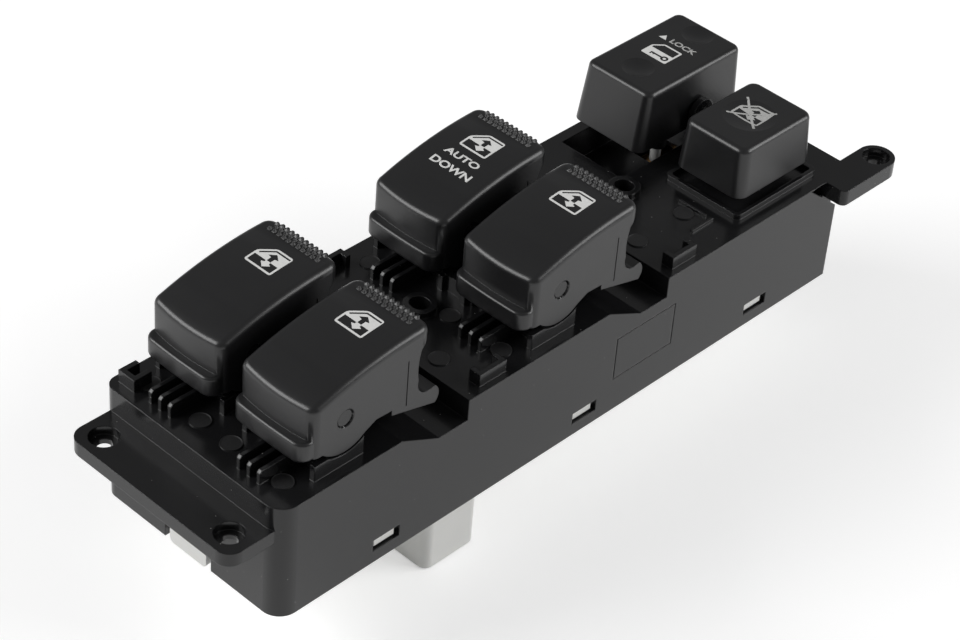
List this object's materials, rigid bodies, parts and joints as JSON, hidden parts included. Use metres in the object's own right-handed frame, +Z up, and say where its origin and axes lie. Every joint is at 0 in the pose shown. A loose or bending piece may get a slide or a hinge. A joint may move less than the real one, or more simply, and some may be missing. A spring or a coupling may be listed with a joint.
{
  "type": "power window switch",
  "caption": "Driver's door switch unit out of its trim: window rockers in pairs, a door lock rocker and a square lockout button on a long black case with flange, ear and connector.",
  "frame": {"origin": "midpoint between the flange's two screw holes, on the flange's underside", "axes": "+X from the flange along the case to the far ear, +Y to the left-hand side as seen from the flange end, +Z up, the way the screws come out"},
  "size_m": [0.2268, 0.0662, 0.0799],
  "materials": {
    "black_housing": "satin",
    "black_cap": "fine texture",
    "off_white_nylon": "satin",
    "circuit_laminate": "satin",
    "tinned_contact": "tinned",
    "contact_metal": "bright",
    "spring_steel": "drawn wire"
  },
  "bodies": {
    "case": {"upper_case": "black_housing", "base_cover": "off_white_nylon", "circuit_board": "circuit_laminate", "main_connector": "off_white_nylon", "connector_terminals": "tinned_contact", "contact_studs": "contact_metal", "contact_fulcrums": "contact_metal", "lockout_spring": "spring_steel"},
    "near_right_rocker_body": {"near_right_rocker": "black_cap", "near_right_plunger": "off_white_nylon", "near_right_plunger_spring": "spring_steel"},
    "near_right_contact_body": {"near_right_seesaw_contact": "contact_metal"},
    "near_left_rocker_body": {"near_left_rocker": "black_cap", "near_left_plunger": "off_white_nylon", "near_left_plunger_spring": "spring_steel"},
    "near_left_contact_body": {"near_left_seesaw_contact": "contact_metal"},
    "far_right_rocker_body": {"far_right_rocker": "black_cap", "far_right_plunger": "off_white_nylon", "far_right_plunger_spring": "spring_steel"},
    "far_right_contact_body": {"far_right_seesaw_contact": "contact_metal"},
    "far_left_rocker_body": {"far_left_rocker": "black_cap", "far_left_plunger": "off_white_nylon", "far_left_plunger_spring": "spring_steel"},
    "far_left_contact_body": {"far_left_seesaw_contact": "contact_metal"},
    "door_lock_rocker_body": {"door_lock_rocker": "black_cap", "door_lock_plunger": "off_white_nylon", "door_lock_plunger_spring": "spring_steel"},
    "door_lock_contact_body": {"door_lock_seesaw_contact": "contact_metal"},
    "lockout_button_body": {"lockout_button": "black_cap", "lockout_bridge": "contact_metal"}
  },
  "joints": [
    {"name": "near_right_rocker_tilt", "type": "hinge", "parent": "case", "child": "near_right_rocker_body", "pos_m": [0.02885, -0.0149, 0.0239], "axis": [0, 1, 0], "range_deg": [-7, 7], "stiffness_Nm_per_rad": 0.5},
    {"name": "near_right_contact_tilt", "type": "hinge", "parent": "case", "child": "near_right_contact_body", "pos_m": [0.02885, -0.0149, -0.0033], "axis": [0, 1, 0], "range_deg": [-3.15, 3.15]},
    {"name": "near_left_rocker_tilt", "type": "hinge", "parent": "case", "child": "near_left_rocker_body", "pos_m": [0.02885, 0.0149, 0.0239], "axis": [0, 1, 0], "range_deg": [-7, 7], "stiffness_Nm_per_rad": 0.5},
    {"name": "near_left_contact_tilt", "type": "hinge", "parent": "case", "child": "near_left_contact_body", "pos_m": [0.02885, 0.0149, -0.0033], "axis": [0, 1, 0], "range_deg": [-3.15, 3.15]},
    {"name": "far_right_rocker_tilt", "type": "hinge", "parent": "case", "child": "far_right_rocker_body", "pos_m": [0.09855, -0.0149, 0.0239], "axis": [0, 1, 0], "range_deg": [-7, 7], "stiffness_Nm_per_rad": 0.5},
    {"name": "far_right_contact_tilt", "type": "hinge", "parent": "case", "child": "far_right_contact_body", "pos_m": [0.09855, -0.0149, -0.0033], "axis": [0, 1, 0], "range_deg": [-3.15, 3.15]},
    {"name": "far_left_rocker_tilt", "type": "hinge", "parent": "case", "child": "far_left_rocker_body", "pos_m": [0.09855, 0.0149, 0.0239], "axis": [0, 1, 0], "range_deg": [-10, 7], "stiffness_Nm_per_rad": 0.5},
    {"name": "far_left_contact_tilt", "type": "hinge", "parent": "case", "child": "far_left_contact_body", "pos_m": [0.09855, 0.0149, -0.0033], "axis": [0, 1, 0], "range_deg": [-3.15, 4.5]},
    {"name": "door_lock_rocker_tilt", "type": "hinge", "parent": "case", "child": "door_lock_rocker_body", "pos_m": [0.18385, 0.01625, 0.0206], "axis": [0, 1, 0], "range_deg": [-6, 6], "stiffness_Nm_per_rad": 0.5},
    {"name": "door_lock_contact_tilt", "type": "hinge", "parent": "case", "child": "door_lock_contact_body", "pos_m": [0.18385, 0.01625, -0.0033], "axis": [0, 1, 0], "range_deg": [-2.7, 2.7]},
    {"name": "lockout_press", "type": "slide", "parent": "case", "child": "lockout_button_body", "axis": [0, 0, 1], "range_m": [-0.0025, 0], "stiffness_N_per_m": 900, "deforming": ["lockout_spring"]}
  ],
  "couplings": [
    {"joint": "near_right_contact_tilt", "follows": "near_right_rocker_tilt", "ratio": -0.45},
    {"joint": "near_left_contact_tilt", "follows": "near_left_rocker_tilt", "ratio": -0.45},
    {"joint": "far_right_contact_tilt", "follows": "far_right_rocker_tilt", "ratio": -0.45},
    {"joint": "far_left_contact_tilt", "follows": "far_left_rocker_tilt", "ratio": -0.45},
    {"joint": "door_lock_contact_tilt", "follows": "door_lock_rocker_tilt", "ratio": -0.45}
  ]
}
